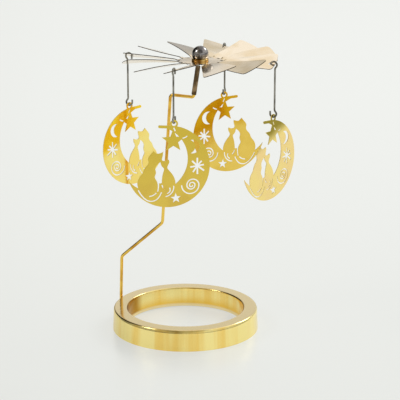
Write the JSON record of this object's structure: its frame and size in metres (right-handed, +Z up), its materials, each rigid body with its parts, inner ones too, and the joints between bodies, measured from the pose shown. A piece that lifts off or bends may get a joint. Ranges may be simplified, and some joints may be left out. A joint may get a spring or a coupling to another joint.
{
  "type": "candle carousel",
  "caption": "Tealight ring with a bent wire stem and needle that carries a draught fan, from which pierced moon ornaments hang on wire hooks.",
  "frame": {"origin": "on the table, under the middle of the whole object's bounding box", "axes": "+Z up along the fan's turning axis, -Y towards the front of the picture"},
  "size_m": [0.0846, 0.072, 0.1289],
  "materials": {
    "ring_gold": "bright gold lacquer over drawn steel sheet",
    "wire_gold": "gold lacquered steel wire",
    "solder_gold": "lacquered solder seam",
    "needle_steel": "ground point",
    "sleeve_bronze": "darkened tube",
    "fan_sheet": "pale gold lacquered tinplate, bright",
    "bush_brass": "turned and polished",
    "cap_dark": "polished dark nickel",
    "hook_wire": "plain drawn wire",
    "moon_gold": "gold lacquered sheet, pierced"
  },
  "bodies": {
    "base": {"base_ring": "ring_gold", "stem_rod": "wire_gold", "stem_solder": "solder_gold", "pivot_needle": "needle_steel", "pivot_sleeve": "sleeve_bronze"},
    "rotor": {"fan": "fan_sheet", "hub_bush": "bush_brass", "hub_cap": "cap_dark"},
    "hook_body_1": {"hook_1": "hook_wire"},
    "moon_body_1": {"moon_1": "moon_gold"},
    "hook_body_2": {"hook_2": "hook_wire"},
    "moon_body_2": {"moon_2": "moon_gold"},
    "hook_body_3": {"hook_3": "hook_wire"},
    "moon_body_3": {"moon_3": "moon_gold"},
    "hook_body_4": {"hook_4": "hook_wire"},
    "moon_body_4": {"moon_4": "moon_gold"}
  },
  "joints": [
    {"name": "fan_spin", "type": "hinge", "parent": "base", "child": "rotor", "pos_m": [0.00072, -0.00199, 0.12633], "axis": [0, 0, 1], "continuous": true},
    {"name": "hook_swing_1", "type": "hinge", "parent": "rotor", "child": "hook_body_1", "pos_m": [0.03193, -0.01394, 0.1229], "axis": [0.3574, 0.934, 0], "range_deg": [-40, 5]},
    {"name": "moon_swing_1", "type": "hinge", "parent": "hook_body_1", "child": "moon_body_1", "pos_m": [0.03193, -0.01394, 0.0997], "axis": [0.7356, -0.6774, 0], "range_deg": [-25, 25]},
    {"name": "hook_swing_2", "type": "hinge", "parent": "rotor", "child": "hook_body_2", "pos_m": [0.01266, 0.0292, 0.12332], "axis": [-0.9339, 0.3574, 0], "range_deg": [-40, 5]},
    {"name": "moon_swing_2", "type": "hinge", "parent": "hook_body_2", "child": "moon_body_2", "pos_m": [0.01266, 0.0292, 0.10092], "axis": [-0.3397, 0.9405, 0], "range_deg": [-25, 25]},
    {"name": "hook_swing_3", "type": "hinge", "parent": "rotor", "child": "hook_body_3", "pos_m": [-0.0305, 0.00995, 0.12274], "axis": [-0.3574, -0.934, 0], "range_deg": [-40, 5]},
    {"name": "moon_swing_3", "type": "hinge", "parent": "hook_body_3", "child": "moon_body_3", "pos_m": [-0.0305, 0.00995, 0.10024], "axis": [-0.6342, 0.7732, 0], "range_deg": [-25, 25]},
    {"name": "hook_swing_4", "type": "hinge", "parent": "rotor", "child": "hook_body_4", "pos_m": [-0.01121, -0.03317, 0.12383], "axis": [0.9339, -0.3575, 0], "range_deg": [-40, 5]},
    {"name": "moon_swing_4", "type": "hinge", "parent": "hook_body_4", "child": "moon_body_4", "pos_m": [-0.01121, -0.03317, 0.10173], "axis": [0.1194, -0.9928, 0], "range_deg": [-25, 25]}
  ]
}
